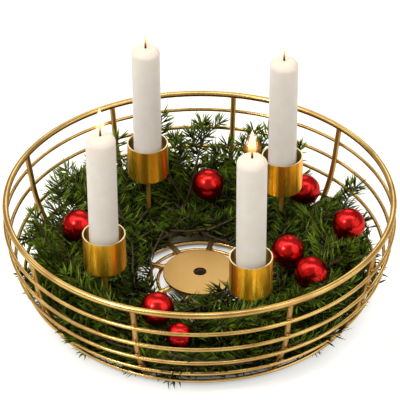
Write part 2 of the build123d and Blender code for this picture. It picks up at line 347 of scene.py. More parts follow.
class ADVENT_OT_disc(bpy.types.Operator):
    """Finishes the disc in the middle of the floor"""
    bl_idname = "advent.disc"
    bl_label = "Centre disc"

    def execute(self, context):
        dress(["centre_disc"], self.turned_sheet(context.scene.advent_wire))
        return {"FINISHED"}

    def turned_sheet(self, s):
        """Turned sheet iron, brass plated, satin lacquered: even gold, faint rings, and painted brown shade on
        the cut edge and underside.
        """
        material, tree = start_material("turned_gold_sheet")
        place = add(tree, "ShaderNodeTexCoord", out="Object")
        # rings 1.8 mm apart, coarser than a lathe leaves, so that they show; at scale 1 they are pi / 10 apart
        rings = add(tree, "ShaderNodeTexWave",
                    {"Vector": place, "Scale": math.pi / (10.0 * 1.8 * MM), "Distortion": 2.0, "Detail": 3.0},
                    "Fac", wave_type="RINGS", rings_direction="Z")
        cloud = add(tree, "ShaderNodeTexNoise", {"Vector": place, "Scale": 1.0 / (14.0 * MM), "Detail": 4.0})
        worn = add(tree, "ShaderNodeMath", {0: rings, 1: cloud}, operation="MULTIPLY")
        face = add(tree, "ShaderNodeMix", {MIX_FACTOR: worn, MIX_A: s.disc, MIX_B: s.disc_shade},
                   data_type="RGBA")
        # painted shade: the cut edge and the underside, which don't face up, are darkened to brown
        facing = add(tree, "ShaderNodeNewGeometry", out="Normal")
        upward = add(tree, "ShaderNodeSeparateXYZ", {"Vector": facing}, "Z")
        edge = add(tree, "ShaderNodeMapRange", {"Value": upward, "From Min": 0.9, "From Max": 0.3})
        base = add(tree, "ShaderNodeMix", {MIX_FACTOR: edge, MIX_A: face, MIX_B: s.brown}, data_type="RGBA")
        bump = add(tree, "ShaderNodeBump", {"Height": rings, "Strength": 0.04, "Distance": 0.1 * MM})
        metal = add(tree, "ShaderNodeBsdfPrincipled",
                    {"Base Color": base, "Metallic": 1.0, "Roughness": 0.5, "Normal": bump})
        add(tree, "ShaderNodeOutputMaterial", {"Surface": metal})
        return material


# Depths in a cup's wall at which its outside finish ends and its inside one is full
CUP_WALL = (0.3 * MM, 0.9 * MM)
# Depths under a cup's top at which its bare lip starts and is full
CUP_LIP = (0.5 * MM, 0.2 * MM)
# Tarnish on bare steel, and the painted shade underneath, as a share of the clean colour
STEEL_TARNISH_AND_SHADE = 0.4


class ADVENT_OT_cups(bpy.types.Operator):
    """Finishes the candle cups and the spikes inside them"""
    bl_idname = "advent.cups"
    bl_label = "Candle cups"

    def execute(self, context):
        s = context.scene.advent_wire
        for node in numbered("candle_cup"):
            dress([node], self.drawn_brass(node, s))
        # turned steel, bare: plain grey metal, a little tarnished, and darkened underneath with painted shade
        dark = [STEEL_TARNISH_AND_SHADE * c for c in s.steel]
        dress(["candle_spikes"], worn_and_shaded_metal("turned_steel", s.steel, dark, dark,
                                            patch_mm=3.0, roughness=0.3, lacquer=0.0))
        return {"FINISHED"}

    def drawn_brass(self, node, s):
        """Drawn brass, polished and lacquered: deep amber metal with upright drawing marks round the wall."""
        low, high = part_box(node)
        material, tree = start_material("drawn_brass_" + node.rpartition("_")[2])
        place = add(tree, "ShaderNodeTexCoord", out="Object")
        own = add(tree, "ShaderNodeVectorMath", {0: place, 1: (low + high) / 2}, operation="SUBTRACT")
        # marks 3 mm wide and many times as tall run up the wall
        upright = add(tree, "ShaderNodeVectorMath", {0: own, 1: (1.0, 1.0, 0.06)}, operation="MULTIPLY")
        marks = add(tree, "ShaderNodeTexNoise", {"Vector": upright, "Scale": 1.0 / (3.0 * MM), "Detail": 3.0})
        contrast = add(tree, "ShaderNodeMapRange", {"Value": marks, "From Min": 0.4, "From Max": 0.7})
        base = add(tree, "ShaderNodeMix", {MIX_FACTOR: contrast, MIX_A: s.cup, MIX_B: s.cup_shade},
                   data_type="RGBA")
        # the lacquer is thin and pale inside, and rubbed off the lip
        level = add(tree, "ShaderNodeVectorMath", {0: own, 1: (1.0, 1.0, 0.0)}, operation="MULTIPLY")
        away = add(tree, "ShaderNodeVectorMath", {0: level}, operation="LENGTH")
        wall = (high.x - low.x) / 2
        within = add(tree, "ShaderNodeMapRange",
                     {"Value": away, "From Min": wall - CUP_WALL[0], "From Max": wall - CUP_WALL[1]})
        base = add(tree, "ShaderNodeMix", {MIX_FACTOR: within, MIX_A: base, MIX_B: s.cup_inside},
                   data_type="RGBA")
        height = add(tree, "ShaderNodeSeparateXYZ", {"Vector": place}, "Z")
        rubbed = add(tree, "ShaderNodeMapRange",
                     {"Value": height, "From Min": high.z - CUP_LIP[0], "From Max": high.z - CUP_LIP[1]})
        base = add(tree, "ShaderNodeMix", {MIX_FACTOR: rubbed, MIX_A: base, MIX_B: s.cup_lip},
                   data_type="RGBA")
        gloss = add(tree, "ShaderNodeMapRange", {"Value": marks, "To Min": 0.22, "To Max": 0.34})
        bump = add(tree, "ShaderNodeBump", {"Height": marks, "Strength": 0.03, "Distance": 0.1 * MM})
        # polishing on a lathe leaves fine lines round the wall, which draw the light out into upright bands
        lines = add(tree, "ShaderNodeTangent", direction_type="RADIAL", axis="Z")
        metal = add(tree, "ShaderNodeBsdfPrincipled",
                    {"Base Color": base, "Metallic": 1.0, "Roughness": gloss, "Normal": bump, "Tangent": lines,
                     "Anisotropic": 0.9, "Anisotropic Rotation": 0.25})
        add(tree, "ShaderNodeOutputMaterial", {"Surface": metal})
        return material


# Depth of the wax that the flame keeps wet, and strength of the light in the wax at its top
MOLTEN_DEPTH = 7.0 * MM
WAX_GLOW = 0.035
# The wick's glow starts this share of its length above the wax, and is full this share below its tip
WICK_GLOW = (0.4, 0.1)
# Ridges of the braid, as a share of the colour of its grooves
WICK_RIDGES = 1.8


class ADVENT_OT_candles(bpy.types.Operator):
    """Finishes the candles and their wicks"""
    bl_idname = "advent.candles"
    bl_label = "Candles"

    def execute(self, context):
        s = context.scene.advent_candle
        dress(numbered("candle"), self.ivory_wax(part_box("candle_1")[1].z, s))
        dress(numbered("wick"), self.burnt_cotton(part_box("candle_1")[1].z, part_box("wick_1")[1].z, s))
        return {"FINISHED"}

    def ivory_wax(self, top, s):
        """Cast paraffin wax: soft, a little see-through, with a silk sheen; the flame lights its top."""
        material, tree = start_material("ivory_paraffin_wax")
        place = add(tree, "ShaderNodeTexCoord", out="Object")
        cloud = add(tree, "ShaderNodeTexNoise", {"Vector": place, "Scale": 1.0 / (11.0 * MM), "Detail": 3.0})
        base = add(tree, "ShaderNodeMix", {MIX_FACTOR: cloud, MIX_A: s.wax, MIX_B: s.wax_shade},
                   data_type="RGBA")
        height = add(tree, "ShaderNodeSeparateXYZ", {"Vector": place}, "Z")
        # the flame keeps the top wet, and wet wax is darker and warmer
        wet = add(tree, "ShaderNodeMapRange",
                  {"Value": height, "From Min": top - MOLTEN_DEPTH, "From Max": top},
                  interpolation_type="SMOOTHSTEP")
        base = add(tree, "ShaderNodeMix", {MIX_FACTOR: wet, MIX_A: base, MIX_B: s.molten}, data_type="RGBA")
        near = add(tree, "ShaderNodeMapRange",
                   {"Value": height, "From Min": top - s.glow_depth, "From Max": top, "To Max": WAX_GLOW},
                   interpolation_type="SMOOTHSTEP")
        glow = add(tree, "ShaderNodeMix", {MIX_FACTOR: near, MIX_A: (0.0, 0.0, 0.0), MIX_B: s.glow},
                   data_type="RGBA")
        grain = add(tree, "ShaderNodeTexNoise", {"Vector": place, "Scale": 1.0 / (1.2 * MM), "Detail": 2.0})
        bump = add(tree, "ShaderNodeBump", {"Height": grain, "Strength": 0.06, "Distance": 0.2 * MM})
        wax = add(tree, "ShaderNodeBsdfPrincipled",
                  {"Base Color": base, "Roughness": 0.42, "IOR": 1.44, "Normal": bump,
                   "Subsurface Weight": 0.35, "Subsurface Scale": 4.0 * MM,
                   "Subsurface Radius": (1.0, 0.7, 0.45), "Emission Color": glow, "Emission Strength": 1.0})
        add(tree, "ShaderNodeOutputMaterial", {"Surface": wax})
        return material

    def burnt_cotton(self, foot, top, s):
        """Braided cotton, burnt black: matt, with the braid's ridges; its upper part glows in the flame."""
        material, tree = start_material("burnt_cotton_braid")
        place = add(tree, "ShaderNodeTexCoord", out="Object")
        # ridges about 2.8 mm apart, coarser than a real braid's so that they show;
        # at scale 1 they are pi / 10 apart
        braid = add(tree, "ShaderNodeTexWave",
                    {"Vector": place, "Scale": 1.0 / (9.0 * MM), "Distortion": 3.0},
                    "Fac", bands_direction="Z")
        ridges = [WICK_RIDGES * c for c in s.char]
        base = add(tree, "ShaderNodeMix", {MIX_FACTOR: braid, MIX_A: s.char, MIX_B: ridges}, data_type="RGBA")
        bump = add(tree, "ShaderNodeBump", {"Height": braid, "Strength": 0.6, "Distance": 0.2 * MM})
        height = add(tree, "ShaderNodeSeparateXYZ", {"Vector": place}, "Z")
        start, full = foot + WICK_GLOW[0] * (top - foot), top - WICK_GLOW[1] * (top - foot)
        hot = add(tree, "ShaderNodeMapRange", {"Value": height, "From Min": start, "From Max": full},
                  interpolation_type="SMOOTHSTEP")
        cotton = add(tree, "ShaderNodeBsdfPrincipled",
                     {"Base Color": base, "Roughness": 0.9, "Normal": bump, "Emission Color": s.ember,
                      "Emission Strength": hot})
        add(tree, "ShaderNodeOutputMaterial", {"Surface": cotton})
        return material


# Flame's outline from its foot to its tip: share of the height, share of the half width
FLAME_OUTLINE = ((0.0, 0.3), (0.06, 0.62), (0.14, 0.86), (0.24, 1.0), (0.36, 0.97), (0.5, 0.84),
                 (0.65, 0.64), (0.8, 0.4), (0.91, 0.2), (0.97, 0.08), (1.0, 0.01))
FLAME_SIDES = 20
# Shells of a flame from the middle outwards: shares of the width and height, whiteness, and strength at the
# foot and in the body
FLAME_SHELLS = ((0.95, 0.97, 1.0, 0.0, 0.62), (1.4, 1.0, 0.15, 0.02, 0.22), (2.05, 0.92, 0.0, 0.03, 0.1))
# How far below the wick's tip a flame starts, as a share of what shows of the wick
FLAME_FOOT = 0.8
# Shares of the height at which a flame is at its full strength, and white
FLAME_FULL = 0.24
FLAME_WHITE = 0.42


class ADVENT_OT_flames(bpy.types.Operator):
    """Adds the flames, each a bright core in a thin orange mantle"""
    bl_idname = "advent.flames"
    bl_label = "Flames"

    def execute(self, context):
        s = context.scene.advent_candle
        gas = self.burning_gas(s)
        for number, node in enumerate(numbered("wick"), start=1):
            low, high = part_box(node)
            shown = high.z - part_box(f"candle_{number}")[1].z
            foot = Vector(((low.x + high.x) / 2, (low.y + high.y) / 2, high.z - FLAME_FOOT * shown))
            self.flame(number, foot, s, gas)
        return {"FINISHED"}

    def flame(self, number, foot, s, gas):
        """One flame, as shells inside each other."""
        vertices, faces, white, glow = [], [], [], []
        for width, height, whiteness, weak, strong in FLAME_SHELLS:
            faces += tube_faces(len(vertices), len(FLAME_OUTLINE), FLAME_SIDES)
            for share, wide in FLAME_OUTLINE:
                full = min(share / FLAME_FULL, 1.0) ** 2
                clear = min(share / FLAME_WHITE, 1.0) ** 2
                out = wide * width * s.flame_width / 2
                up = height * s.flame_height * share
                for k in range(FLAME_SIDES):
                    vertices.append(foot + Vector(around(out, math.tau * k / FLAME_SIDES, up)))
                    white.append(whiteness * clear)
                    glow.append(weak + (strong - weak) * full)
        piece = mesh_piece(f"flame_{number}", vertices, faces, gas, f"candle_body_{number}")
        point_values(piece, "whiteness", white)
        point_values(piece, "glow", glow)

    def burning_gas(self, s):
        """Burning wax vapour: it adds light to what is behind it, nearly white inside and orange round it."""
        material, tree = start_material("burning_wax_vapour")
        white = add(tree, "ShaderNodeAttribute", out="Fac", attribute_name="whiteness")
        glow = add(tree, "ShaderNodeAttribute", out="Fac", attribute_name="glow")
        shade = add(tree, "ShaderNodeMix", {MIX_FACTOR: white, MIX_A: s.flame_edge, MIX_B: s.flame_core},
                    data_type="RGBA")
        light = add(tree, "ShaderNodeEmission", {"Color": shade, "Strength": glow})
        both = add(tree, "ShaderNodeAddShader", {0: light, 1: add(tree, "ShaderNodeBsdfTransparent")})
        add(tree, "ShaderNodeOutputMaterial", {"Surface": both})
        return material


# Tarnish on gold-washed tin, and the painted shade underneath, as a share of the clean colour
TIN_TARNISH_AND_SHADE = 0.5


class ADVENT_OT_baubles(bpy.types.Operator):
    """Finishes the glass baubles, their caps and pick wires"""
    bl_idname = "advent.baubles"
    bl_label = "Baubles"

    def execute(self, context):
        s = context.scene.advent_bauble
        dress(numbered("bauble"), self.red_glass(s))
        # stamped tin cap and soft wire, gold washed: dull old gold, darkened underneath with painted shade
        dark = [TIN_TARNISH_AND_SHADE * c for c in s.cap]
        dress(["bauble_picks"], worn_and_shaded_metal("gold_washed_tin", s.cap, dark, dark,
                                           patch_mm=2.0, roughness=0.3, lacquer=0.3))
        return {"FINISHED"}

    def red_glass(self, s):
        """Blown glass, silvered and lacquered red inside: mirror-like red under a clear hard surface."""
        material, tree = start_material("red_lacquered_glass")
        place = add(tree, "ShaderNodeTexCoord", out="Object")
        cloud = add(tree, "ShaderNodeTexNoise", {"Vector": place, "Scale": 1.0 / (16.0 * MM), "Detail": 2.0})
        base = add(tree, "ShaderNodeMix", {MIX_FACTOR: cloud, MIX_A: s.red, MIX_B: s.deep_red},
                   data_type="RGBA")
        # a blown ball is a little wavy
        bump = add(tree, "ShaderNodeBump", {"Height": cloud, "Strength": 0.05, "Distance": 1.0 * MM})
        glass = add(tree, "ShaderNodeBsdfPrincipled",
                    {"Base Color": base, "Metallic": 1.0, "Roughness": 0.24, "Normal": bump,
                     "Specular Tint": s.deep_red, "Coat Weight": 0.25, "Coat Roughness": 0.08})
        add(tree, "ShaderNodeOutputMaterial", {"Surface": glass})
        return material


class ShootKind(NamedTuple):
    """What shoots of one kind have in common: bend, tones, lengths in millimetres and radius of the twig."""
    bend: float
    tones: tuple
    lengths: tuple = ()
    thick: float = 1.5 * MM


MAIN = ShootKind(bend=0.05, tones=(-0.05, 0.16))
SIDE = ShootKind(bend=0.06, tones=(0.0, 0.15), lengths=(26.0, 42.0), thick=0.95 * MM)
# painted shade: low, skirt and hem shoots get darker tones because they lie low and deep in the fir
LOW = ShootKind(bend=0.06, tones=(-0.5, -0.2), lengths=(36.0, 58.0))
SKIRT = ShootKind(bend=0.04, tones=(-0.3, 0.0), lengths=(36.0, 58.0))
HEM = ShootKind(bend=0.04, tones=(-0.3, 0.0), lengths=(24.0, 34.0))
STRAY = ShootKind(bend=0.03, tones=(0.0, 0.2))

# Layout of the main shoots, as in the solids, in millimetres: ends of each shoot, its needles' reach and its
# sides. An end is a distance from the basket's middle, a share of the half wedge, and a lift off the floor.
SPRAY_SHOOTS = (
    ((58.0, 0.0, 0.0), (116.0, 0.0, 0.0), 11.0, (0,)),
    ((104.0, 0.0, 4.0), (163.0, 0.0, 50.0), 12.0, (0,)),
    ((72.0, 0.0, 0.0), (118.0, 0.78, 0.0), 10.0, (-1, 1)),
    ((92.0, 0.0, 4.0), (146.0, 0.86, 28.0), 11.0, (-1, 1)),
    ((102.0, 0.0, 9.0), (160.0, 0.5, 68.0), 11.0, (-1, 1)),
    ((104.0, 0.1, 10.0), (150.0, 1.0, 52.0), 10.0, (1,)),
)
# A gap between ribs that is wider than this holds two sprays
SPRAY_WIDEST = math.radians(50.0)
# Shoots on one side start further out, and lifts vary from shoot to shoot
SPRAY_STAGGER = 7.0
SPRAY_LIFT_LEAST = 0.9
SPRAY_LIFT_SPREAD = 0.3
GOLDEN_STEP = 0.618
# Floor wires in millimetres: height at the basket's foot, slope up to the middle, and radius of the foot
FLOOR_AT_FOOT = 1.0
FLOOR_SLOPE = 0.0775
FOOT_RADIUS = 144.0

# Side shoots: distance along the forked share of a line, place of the first, span of them all, and jitter
SIDE_PITCH = 15.0
SIDE_FORKED = 0.75
SIDE_FIRST = 0.25
SIDE_SPAN = 0.7
SIDE_JITTER = 0.6
# Fork in degrees, climb, share of the length at the line's root, and what it loses on the way to the tip
SIDE_FORK = (32.0, 52.0)
SIDE_CLIMB = (-0.05, 0.3)
SIDE_LONGEST = 1.15
SIDE_LOSS = 0.5
# Low shoots, which reach further in at the front than at the back
LOW_SHOOTS = 24
LOW_JITTER = 0.2
LOW_RADII = (63.0, 150.0)
LOW_FRONT = 13.0
LOW_BACK = 6.0
LOW_HEIGHTS = (7.0, 22.0)
LOW_TURN = (0.0, 0.4)
LOW_CLIMB = (-0.1, 0.3)
# Skirt shoots, which are crowded at the inner of their radii and rise towards the outer one
SKIRT_SHOOTS = 28
SKIRT_CROWDING = 2.2
SKIRT_RADII = (133.0, 167.0)
SKIRT_HEIGHTS = (4.0, 46.0)
SKIRT_RISE = (0.6, 1.0)
SKIRT_TURN = (0.12, 0.2)
SKIRT_CLIMB = (0.0, 0.3)
HEM_SHOOTS = 12
HEM_RADIUS = 118.0
HEM_HEIGHTS = (3.5, 7.0)
HEM_TURN = (0.0, 0.45)
HEM_CLIMB = -0.04
# Where a skirt or hem shoot stands in its part of the wedge
PLACE_JITTER = (0.2, 0.8)
# Sprigs that stick out between the side wires: degrees round the basket, heights of root and tip, and reach
STRAY_SPRIGS = ((189.0, 24.0, 15.0, 17.0), (224.0, 6.0, 4.0, 12.0), (245.0, 6.0, 4.0, 10.0),
                (260.0, 6.0, 4.0, 12.0), (316.0, 6.0, 4.0, 10.0), (351.0, 24.0, 16.0, 12.0))
# Degrees that a sprig's twigs are turned, depth of its root inside the wires, its needles' reach, and degrees
# to each side that it has room
STRAY_FAN = (-2.0, 0.0, 2.0)
STRAY_ROOT = 24.0
STRAY_NEEDLES = 9.0
STRAY_SPREAD = 4.5

# Nest of a bauble: width at its front and back, share of the radius that the front ends at, slope and depth
NEST_FRONT = 26.0 * MM
NEST_BACK = 5.0 * MM
NEST_FRONT_END = 0.3
NEST_SLOPE = 0.7
NEST_DEPTH = 0.25
# Room over the disc, as a circle that lies towards the back
CLEAR_RADIUS = 47.5 * MM
CLEAR_BACK = 8.0 * MM
# Inner line of the side wires: heights and radii
WALL_HEIGHTS = (0.0, 42.0 * MM, 107.0 * MM)
WALL_RADII = (146.0 * MM, 176.0 * MM, 187.0 * MM)
# Room round a twig and under a needle's tip
TWIG_ROOM = 1.2 * MM
NEEDLE_ROOM = 0.5 * MM
# Share of the needles that may show outside the side wires, and how far
NEEDLES_THROUGH = 0.4
NEEDLE_SHOWS = 10.0 * MM

# Twigs: points along and round one, fewest points, least share of its needles, taper and knots
TWIG_STEPS = 9
TWIG_SIDES = 6
SHORTEST_TWIG = 4
BAREST_TWIG = 0.4
TWIG_TAPER = 0.6
TWIG_KNOTS = 0.15
KNOTS_ALONG = 7.0
KNOTS_ROUND = 3.0

# Needles along a shoot, fewest of them, and bare share at its root
NEEDLES_PER_MM = 1.0
FEWEST_NEEDLES = 12
NEEDLES_FROM = 0.04
# Tuft at its tip: needles, and share of the shoot where they start
TUFT_NEEDLES = 10
TUFT_FROM = 0.94
# Degrees: rise out of the shoot's plane, lean off its line, loss of lean and spread towards its tip, and twist
NEEDLE_RISE = (14.0, 21.0)
NEEDLE_LEAN = 60.0
LEAN_LOSS, LEAN_LOSS_POWER = 16.0, 5
LEAN_SPREAD = 5.0
TIP_SPREAD, TIP_SPREAD_POWER = 14.0, 6
NEEDLE_TWIST = 28.0
# Shares of the set length and width, and share of the length at places along the shoot
NEEDLE_LENGTHS = (0.85, 1.08)
NEEDLE_WIDTHS = (0.8, 1.15)
LENGTH_ALONG = ((0.0, 0.2, 0.8, 1.0), (0.75, 1.0, 1.0, 0.85))
# Form of a needle: place of its belly, bow forwards, bow back at the belly, ridge, and width and ridge at
# its foot
NEEDLE_BELLY = 0.55
NEEDLE_BOW = 0.05
BELLY_BOW = 0.3
NEEDLE_RIDGE = 0.35
FOOT_WIDTH = 0.45
FOOT_RIDGE = 0.4
# A needle's points, three at its foot, three at its belly and its tip: share of the length at each, and faces
NEEDLE_ALONG = (0.0, 0.0, 0.0, NEEDLE_BELLY, NEEDLE_BELLY, NEEDLE_BELLY, 1.0)
NEEDLE_QUADS = ((0, 1, 4, 3), (1, 2, 5, 4))
NEEDLE_TIPS = ((3, 4, 6), (4, 5, 6))
# Tone of a needle: middle, spread between needles, and gain towards the tip of the shoot
TONE_MIDDLE = 0.45
TONE_SPREAD = 0.4
TONE_GAIN = 0.1
# Keeps the length of a vector from being zero
TINY = 1e-9
# Painted shade at the foot of a needle, as a share of the dark needles' colour, and gaps between the bark's
# scales
NEEDLE_FOOT_SHADE = 0.5
BARK_DARK = 0.45


class ADVENT_OT_fir(bpy.types.Operator):
    """Grows the fir sprays: twigs with side shoots, all set with single needles"""
    bl_idname = "advent.fir"
    bl_label = "Fir sprays"

    def execute(self, context):
        s = context.scene.advent_fir
        self.chance = np.random.default_rng(s.seed)
        self.settings = s
        self.hard = self.hard_pieces()
        self.balls = [self.ball(node) for node in numbered("bauble")]
        needles, bark = self.fir_needle(s), self.fir_bark(s)
        angles = [rib_angle(node) % math.tau for node in numbered("rib")]
        number = 0
        for gap, start in enumerate(angles, start=1):
            width = (angles[gap % len(angles)] - start) % math.tau
            count = 2 if width > SPRAY_WIDEST else 1
            half = width / count / 2
            shoots = []
            for k in range(count):
                shoots += self.spray(number, start + half * (2 * k + 1), half)
                number += 1
            self.plant(gap, shoots, needles, bark)
        return {"FINISHED"}

    def ball(self, node):
        """Middle and radius of a bauble."""
        co = points_of(node)
        radius = (co[:, :2].max(0) - co[:, :2].min(0)).min() / 2
        upper = co[co[:, 2] > co[:, 2].max() - radius]
        middle = (upper.min(0) + upper.max(0)) / 2
        return np.array([middle[0], middle[1], co[:, 2].max() - radius]), radius

    def hard_pieces(self):
        """Surfaces of everything that isn't fir, which twigs and needles stay clear of."""
        vertices, faces = [], []
        for name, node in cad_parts.items():
            if not name.startswith("fir_spray"):
                start = len(vertices)
                vertices += [v.co.copy() for v in node.data.vertices]
                faces += [[start + k for k in f.vertices] for f in node.data.polygons]
        return BVHTree.FromPolygons(vertices, faces)

    def in_nest(self, points):
        """True for each point over or in front of a bauble, where the fir is pressed aside to show it."""
        found = np.zeros(len(points), bool)
        for middle, radius in self.balls:
            off = points - middle
            away = np.hypot(off[:, 0], off[:, 1]) - radius
            wide = np.where(off[:, 1] < NEST_FRONT_END * radius, NEST_FRONT, NEST_BACK)
            found |= (away < wide) & (off[:, 2] > NEST_SLOPE * np.maximum(away, 0.0) - NEST_DEPTH * radius)
        return found

    def over_disc(self, points):
        """True for each point over the disc or near it; at the front the fir comes up to its edge."""
        return np.hypot(points[:, 0], points[:, 1] - CLEAR_BACK) < CLEAR_RADIUS

    def wall(self, points):
        """How far out fir may be at each point: up to the side wires, or past them where a sprig is."""
        sprigs = np.array(STRAY_SPRIGS)
        turn = np.degrees(np.arctan2(points[:, 1], points[:, 0]))[:, None] - sprigs[:, 0]
        near = np.abs((turn + 180.0) % 360.0 - 180.0) < STRAY_SPREAD
        stray = np.where(near, sprigs[:, 3] * MM, 0.0).max(1)
        return np.interp(points[:, 2], WALL_HEIGHTS, WALL_RADII) + stray

    def free_part(self, line):
        """Longest part of a line that is clear of hard pieces, nests, disc, side wires and table."""
        best = run = line[:0]
        for k, spot in enumerate(line):
            place, normal, _, gap = self.hard.find_nearest(Vector(spot))
            inside = (Vector(spot) - place).dot(normal) < 0.0
            over = self.in_nest(spot[None])[0] or self.over_disc(spot[None])[0]
            outside = np.hypot(spot[0], spot[1]) > self.wall(spot[None])[0]
            if inside or over or outside or gap < TWIG_ROOM or spot[2] < TWIG_ROOM:
                run = line[:0]
            else:
                run = line[k - len(run):k + 1]
                best = run if len(run) > len(best) else best
        return best

    def free_needles(self, feet, tips):
        """True for each needle that has room for its tip and meets no hard piece on the way there."""
        through = np.where(self.chance.uniform(0.0, 1.0, len(tips)) < NEEDLES_THROUGH, NEEDLE_SHOWS, 0.0)
        free = (tips[:, 2] > NEEDLE_ROOM) & (np.hypot(tips[:, 0], tips[:, 1]) < self.wall(tips) + through)
        free &= ~self.in_nest(tips) & ~self.over_disc(tips)
        for k in np.flatnonzero(free):
            way = Vector(tips[k] - feet[k])
            free[k] = self.hard.ray_cast(Vector(feet[k]), way.normalized(), way.length)[0] is None
        return free

    def on_floor(self, radius, angle, height, lift=0.0):
        """Place over the floor wires, from sizes in millimetres."""
        seat = FLOOR_AT_FOOT + (FOOT_RADIUS - min(radius, FOOT_RADIUS)) * FLOOR_SLOPE
        return around(radius, angle, seat + height + lift) * MM

    def bent(self, a, b, share):
        """Points along a slightly bent line from a to b."""
        run = np.linalg.norm(b - a)
        middle = (a + b) / 2 + self.chance.normal(0.0, share, 3) * run
        t = np.linspace(0.0, 1.0, TWIG_STEPS)[:, None]
        return (1 - t) ** 2 * a + 2 * t * (1 - t) * middle + t ** 2 * b

    def shoot(self, kind, root, tip, tone=0.0):
        """One shoot: points along its line, radius of its twig, and tone."""
        return self.bent(root, tip, kind.bend), kind.thick, tone + self.chance.uniform(*kind.tones)

    def grown(self, kind, root, way, share=1.0, tone=0.0):
        """One shoot from its root along a way, to a share of a length of its kind."""
        size = self.chance.uniform(*kind.lengths) * share * MM
        return self.shoot(kind, root, root + way * size, tone)

    def spray(self, number, mid, half):
        """All shoots of one spray."""
        shoots = []
        for row, (start, end, reach, sides) in enumerate(SPRAY_SHOOTS):
            for side in sides:
                spread = ((len(SPRAY_SHOOTS) * number + row) * 2 + side) * GOLDEN_STEP % 1.0
                lift = end[2] * (SPRAY_LIFT_LEAST + SPRAY_LIFT_SPREAD * spread)
                step = SPRAY_STAGGER if side > 0 else 0.0
                root = self.on_floor(start[0] + step, mid + side * start[1] * half, reach, start[2])
                tip = self.on_floor(end[0], mid + side * end[1] * half, reach, lift)
                line, thick, tone = self.shoot(MAIN, root, tip)
                shoots.append((line, thick, tone))
                shoots += self.side_shoots(line, tone)
        for more in (self.low_shoots, self.skirt_shoots, self.hem_shoots, self.stray_sprigs):
            shoots += more(mid, half)
        return shoots

    def side_shoots(self, line, tone):
        """Short shoots that fork off a line, left and right in turn."""
        made = []
        count = int(np.linalg.norm(line[-1] - line[0]) / MM * SIDE_FORKED / SIDE_PITCH)
        heading = unit(line[-1] - line[0])
        across = unit(np.cross(heading, UP))
        for k in range(count):
            t = SIDE_FIRST + SIDE_SPAN * (k + self.chance.uniform(0.0, SIDE_JITTER)) / count
            root = line[int(t * (TWIG_STEPS - 1))]
            hand = 1.0 if k % 2 else -1.0
            fork = math.radians(self.chance.uniform(*SIDE_FORK))
            climb = self.chance.uniform(*SIDE_CLIMB)
            way = unit(math.cos(fork) * heading + hand * math.sin(fork) * across + climb * UP)
            made.append(self.grown(SIDE, root, way, SIDE_LONGEST - SIDE_LOSS * t, tone))
        return made

    def low_shoots(self, mid, half):
        """Short shoots that lie on the floor wires between and under the others."""
        made = []
        for k in range(LOW_SHOOTS):
            share = (k * GOLDEN_STEP + self.chance.uniform(0.0, LOW_JITTER)) % 1.0
            angle = mid + half * (2.0 * share - 1.0)
            side = math.sin(angle)
            inner = LOW_RADII[0] - (LOW_BACK if side > 0.0 else LOW_FRONT) * abs(side)
            radius = inner + (LOW_RADII[1] - inner) * (k + 0.5) / LOW_SHOOTS
            root = self.on_floor(radius, angle, self.chance.uniform(*LOW_HEIGHTS))
            turn = angle + (0.5 if k % 2 else -0.5) * math.pi + self.chance.normal(*LOW_TURN)
            way = unit(around(1.0, turn, self.chance.uniform(*LOW_CLIMB)))
            made.append(self.grown(LOW, root, way))
        return made

    def skirt_shoots(self, mid, half):
        """Shoots that lie along the foot of the side wires."""
        made = []
        for k in range(SKIRT_SHOOTS):
            share = (k + self.chance.uniform(*PLACE_JITTER)) / SKIRT_SHOOTS
            angle = mid + half * (2.0 * share - 1.0)
            out = self.chance.uniform(0.0, 1.0) ** SKIRT_CROWDING
            radius = SKIRT_RADII[0] + (SKIRT_RADII[1] - SKIRT_RADII[0]) * out
            rise = (SKIRT_HEIGHTS[1] - SKIRT_HEIGHTS[0]) * out * self.chance.uniform(*SKIRT_RISE)
            root = self.on_floor(radius, angle, SKIRT_HEIGHTS[0] + rise)
            turn = angle + (0.5 if k % 2 else -0.5) * math.pi + self.chance.normal(*SKIRT_TURN) * (-1.0) ** k
            way = unit(around(1.0, turn, self.chance.uniform(*SKIRT_CLIMB)))
            made.append(self.grown(SKIRT, root, way))
        return made

    def hem_shoots(self, mid, half):
        """Sprigs that point out at the foot of the side wires and show between the lowest of them."""
        made = []
        for k in range(HEM_SHOOTS):
            share = (k + self.chance.uniform(*PLACE_JITTER)) / HEM_SHOOTS
            angle = mid + half * (2.0 * share - 1.0)
            root = self.on_floor(HEM_RADIUS, angle, self.chance.uniform(*HEM_HEIGHTS))
            way = around(1.0, angle + self.chance.normal(*HEM_TURN), HEM_CLIMB)
            made.append(self.grown(HEM, root, way))
        return made

    def stray_sprigs(self, mid, half):
        """Small fans of twigs that stick out between the side wires."""
        made = []
        for degrees, low, high, reach in STRAY_SPRIGS:
            angle = math.radians(degrees)
            if abs((angle - mid + math.pi) % math.tau - math.pi) < half:
                inner = np.interp(low * MM, WALL_HEIGHTS, WALL_RADII) - STRAY_ROOT * MM
                outer = np.interp(high * MM, WALL_HEIGHTS, WALL_RADII) + (reach - STRAY_NEEDLES) * MM
                root = around(inner, angle, low * MM)
                for fan in STRAY_FAN:
                    made.append(self.shoot(STRAY, root, around(outer, angle + math.radians(fan), high * MM)))
        return made

